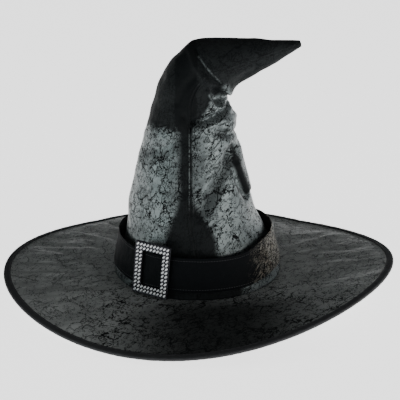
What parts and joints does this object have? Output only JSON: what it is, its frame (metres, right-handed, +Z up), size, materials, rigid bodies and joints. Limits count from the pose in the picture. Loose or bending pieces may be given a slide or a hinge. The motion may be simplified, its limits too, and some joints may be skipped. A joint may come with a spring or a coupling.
{
  "type": "witch hat",
  "caption": "Tall bent-tip costume hat of crackled faux leather with a wide wired brim, a loose belt band and a stone-set slide buckle.",
  "frame": {"origin": "centre of the head opening, in the plane where the crown is sewn to the brim", "axes": "+Z up along the crown, +X to the side that the tip flops to, -Y to the front seam and the buckle's side"},
  "size_m": [0.4438, 0.4358, 0.2867],
  "materials": {
    "crown_leather": "crushed faux leather, satin gloss, fine crackle",
    "brim_leather": "crushed faux leather, satin gloss, fine crackle",
    "strap_leather": "crushed faux leather, folded to a strap",
    "binding_tape": "woven bias tape, matte",
    "lining_cloth": "thin plain-weave lining, matte",
    "stiffener_cloth": "non-woven stiffener, matte",
    "thread": "twisted polyester thread",
    "wire_steel": "drawn steel wire",
    "buckle_metal": "bright plated metal",
    "rhinestone": "clear foil-backed rhinestone"
  },
  "bodies": {
    "crown": {"crown_panel_left": "crown_leather", "crown_panel_right": "crown_leather", "crown_stiffener": "stiffener_cloth", "crown_lining": "lining_cloth", "crown_front_seam": "crown_leather", "crown_back_seam": "crown_leather", "sweatband": "lining_cloth", "sweatband_stitching": "thread", "brim_top_cover": "brim_leather", "brim_stiffener": "stiffener_cloth", "brim_under_cover": "brim_leather", "brim_wire": "wire_steel", "wire_joiner": "wire_steel", "brim_binding": "binding_tape", "binding_stitching": "thread", "opening_stitching": "thread"},
    "tip": {"tip_panel_left": "crown_leather", "tip_panel_right": "crown_leather", "tip_lining": "lining_cloth", "tip_front_seam": "crown_leather", "tip_back_seam": "crown_leather"},
    "hatband": {"hatband_strap": "strap_leather", "hatband_backing": "lining_cloth", "hatband_lap": "strap_leather", "hatband_upper_stitching": "thread", "hatband_lower_stitching": "thread"},
    "buckle": {"buckle_frame": "buckle_metal", "buckle_bar": "buckle_metal", "buckle_stones": "rhinestone", "buckle_stone_cups": "buckle_metal"}
  },
  "joints": [
    {"name": "tip_fold", "type": "hinge", "parent": "crown", "child": "tip", "pos_m": [0.00434, 0, 0.2268], "axis": [0, 1, 0], "range_deg": [-75, 25]},
    {"name": "hatband_turn", "type": "hinge", "parent": "crown", "child": "hatband", "pos_m": [0, 0, 0], "axis": [0, 0, 1], "continuous": true},
    {"name": "buckle_slide", "type": "hinge", "parent": "hatband", "child": "buckle", "pos_m": [0, 0, 0], "axis": [0, 0, 1], "range_deg": [-45, 60]}
  ]
}
